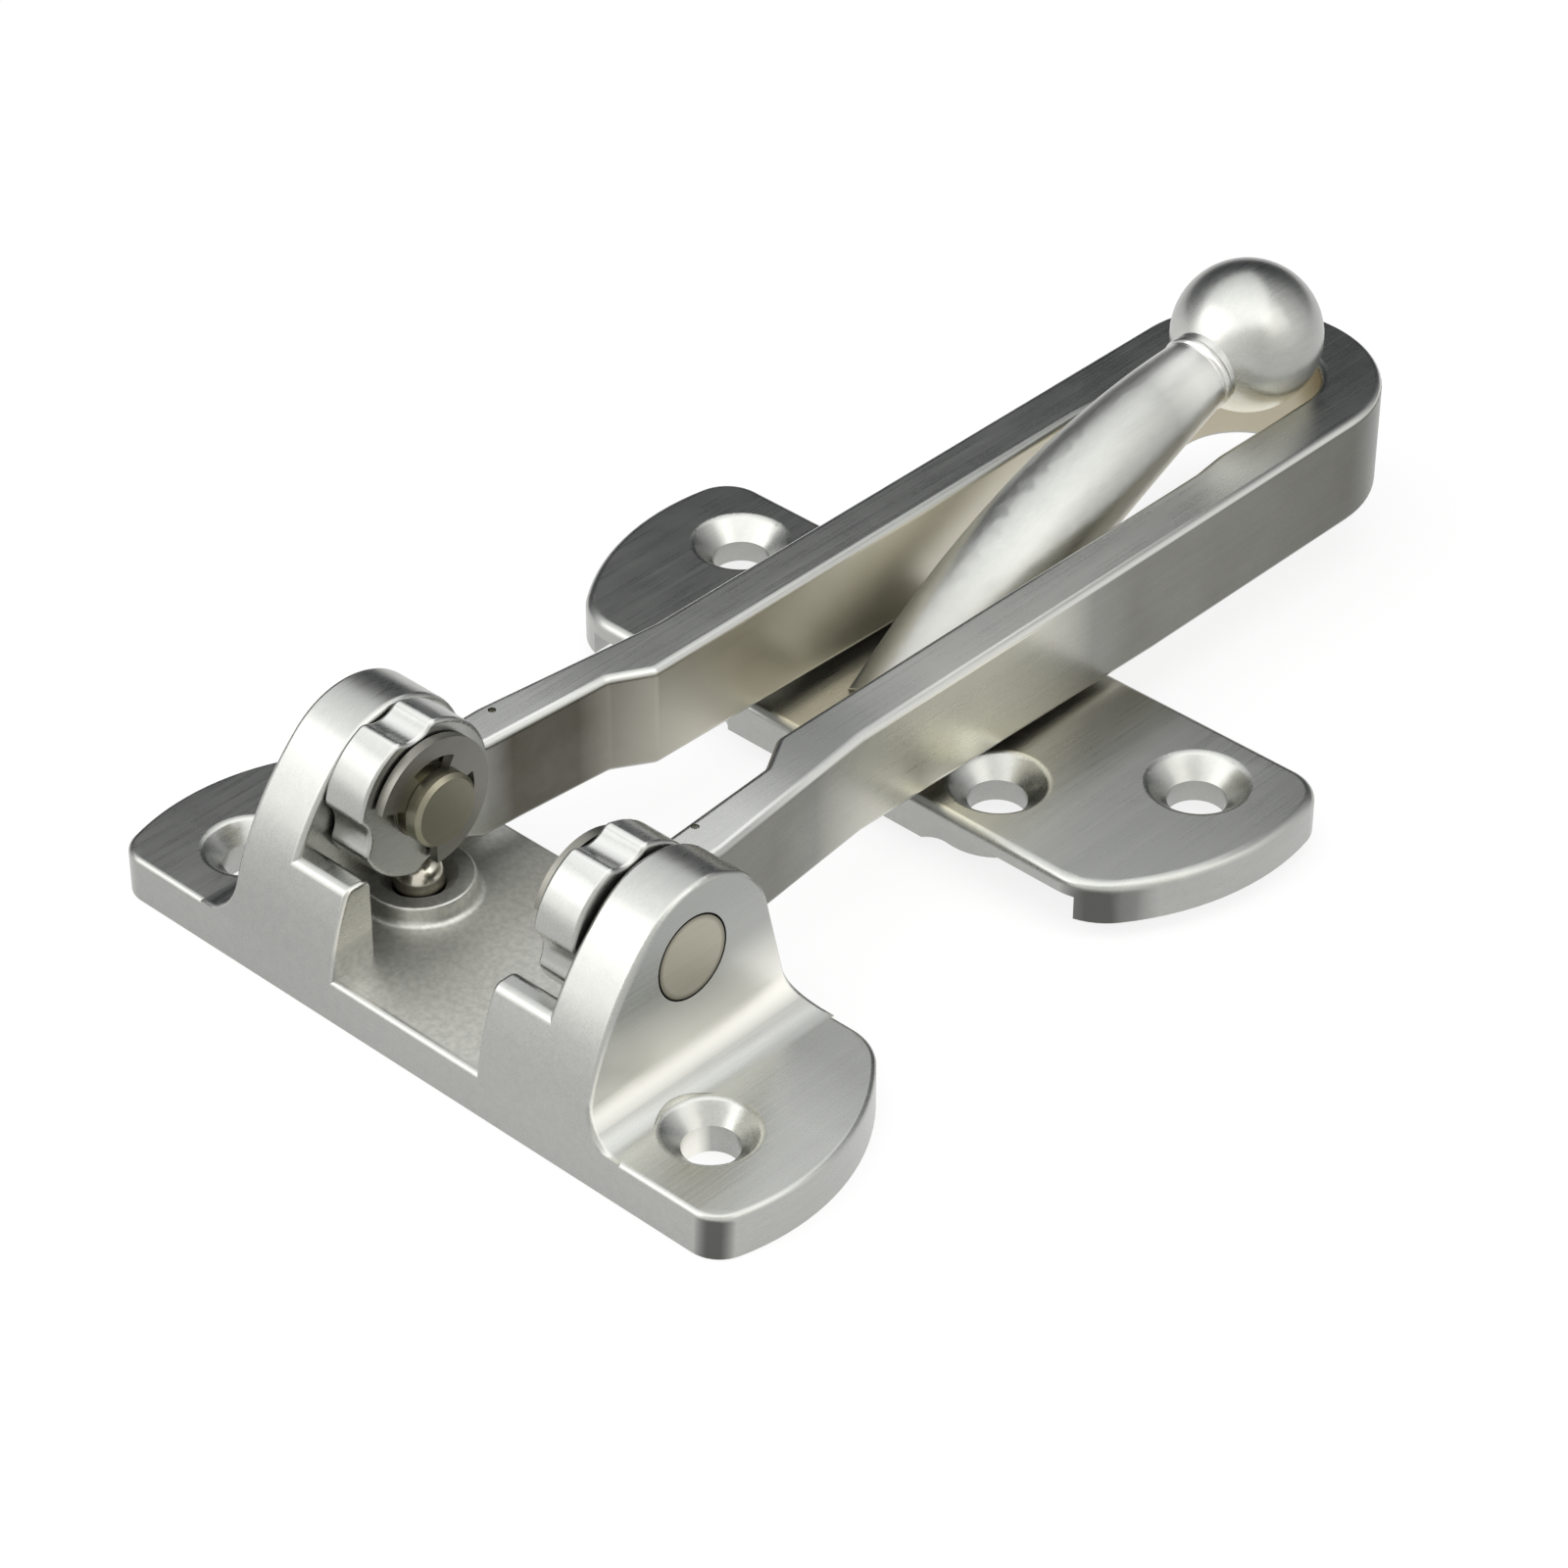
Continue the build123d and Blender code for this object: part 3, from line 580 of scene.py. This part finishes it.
# Studio
def build_floor():
    """A white floor that takes the latch's shadow."""
    half = FLOOR_SIZE / 2
    mesh = bpy.data.meshes.new("floor")
    corners = [(-half, -half, 0), (half, -half, 0), (half, half, 0), (-half, half, 0)]
    mesh.from_pydata(corners, [], [(0, 1, 2, 3)])
    floor = bpy.data.objects.new("floor", mesh)
    floor.location.z = -FLOOR_DROP
    bpy.context.scene.collection.objects.link(floor)
    n = Nodes("studio_floor")
    path = n.add("ShaderNodeLightPath")
    seen = n.maths("MAXIMUM", path.outputs["Is Camera Ray"], path.outputs["Is Glossy Ray"])
    seen = n.maths("MAXIMUM", seen, path.outputs["Is Transmission Ray"])
    diffuse = n.add("ShaderNodeBsdfDiffuse", Color=(FLOOR_TONE, FLOOR_TONE, FLOOR_TONE, 1))
    glow = n.add("ShaderNodeEmission", Color=(1, 1, 1, 1), Strength=1.0)
    mix = n.tree.nodes.new("ShaderNodeMixShader")
    n.feed(mix, 0, n.times(seen, FLOOR_GLOW))
    n.feed(mix, 1, diffuse.outputs[0])
    n.feed(mix, 2, glow.outputs[0])
    mesh.materials.append(n.finish(mix))


def build_world():
    """A pale tent of light with one dark corner at the back left."""
    world = bpy.data.worlds.new("studio")
    bpy.context.scene.world = world
    world.use_nodes = True
    tree = world.node_tree
    tree.nodes.clear()
    coord = tree.nodes.new("ShaderNodeTexCoord")
    corner = tree.nodes.new("ShaderNodeVectorMath")
    corner.operation = "DOT_PRODUCT"
    corner.inputs[1].default_value = DARK_CORNER
    tree.links.new(coord.outputs["Generated"], corner.inputs[0])
    position = tree.nodes.new("ShaderNodeMapRange")
    position.inputs["From Min"].default_value = -1.0
    tree.links.new(corner.outputs["Value"], position.inputs["Value"])
    ramp = tree.nodes.new("ShaderNodeValToRGB")
    ramp.color_ramp.interpolation = "B_SPLINE"
    while len(ramp.color_ramp.elements) < len(TENT_TONES):
        ramp.color_ramp.elements.new(0.5)
    for element, (where, tone) in zip(ramp.color_ramp.elements, TENT_TONES):
        element.position = where
        element.color = (*tone, 1)
    tree.links.new(position.outputs["Result"], ramp.inputs[0])
    back = tree.nodes.new("ShaderNodeBackground")
    back.inputs["Strength"].default_value = WORLD_STRENGTH
    tree.links.new(ramp.outputs[0], back.inputs["Color"])
    out = tree.nodes.new("ShaderNodeOutputWorld")
    tree.links.new(back.outputs[0], out.inputs[0])


def area_lamp(lamp, place, rotation):
    light = bpy.data.lights.new(lamp.name, "AREA")
    light.shape = "RECTANGLE"
    light.size, light.size_y = lamp.size
    light.energy = lamp.glow * math.pi * light.size * light.size_y
    light.color = lamp.tint
    obj = bpy.data.objects.new(lamp.name, light)
    bpy.context.scene.collection.objects.link(obj)
    obj.location = place
    obj.rotation_mode = "QUATERNION"
    obj.rotation_quaternion = rotation


def side_lamp(lamp, azimuth, elevation):
    """A lamp in a direction from the latch, turned to it."""
    turn = math.radians(azimuth)
    rise = math.radians(elevation)
    flat = math.cos(rise)
    away = Vector((flat * math.cos(turn), flat * math.sin(turn), math.sin(rise)))
    place = SIDE_LAMP_AIM + away * SIDE_LAMP_DISTANCE
    area_lamp(lamp, place, (-away).to_track_quat("-Z", "Y"))


def build_lights():
    for lamp, (azimuth, elevation) in SIDE_LAMPS.items():
        side_lamp(lamp, azimuth, elevation)
    overhead = Euler((0, 0, math.radians(CEILING_TURN))).to_quaternion()
    area_lamp(CEILING_LAMP, CEILING_PLACE, overhead)


def build_camera():
    camera = bpy.data.cameras.new("camera")
    camera.lens = CAMERA_LENS
    camera.sensor_width = SENSOR
    camera.clip_start = CLIP_NEAR
    camera.clip_end = CLIP_FAR
    obj = bpy.data.objects.new("camera", camera)
    bpy.context.scene.collection.objects.link(obj)
    azimuth = math.radians(CAMERA_AZIMUTH)
    elevation = math.radians(CAMERA_ELEVATION)
    flat = math.cos(elevation)
    back = Vector((flat * math.sin(azimuth), -flat * math.cos(azimuth), math.sin(elevation)))
    right = Vector((math.cos(azimuth), math.sin(azimuth), 0))
    up = back.cross(right)
    basis = Matrix((right, up, back)).transposed()
    roll = Matrix.Rotation(math.radians(CAMERA_ROLL), 3, "Z")
    obj.matrix_world = Matrix.Translation(CAMERA_PLACE) @ (basis @ roll).to_4x4()
    bpy.context.scene.camera = obj
    bpy.context.scene.view_settings.view_transform = "Standard"


smooth_normals(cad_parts.values())
dress_steel(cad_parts)
build_floor()
build_world()
build_lights()
build_camera()
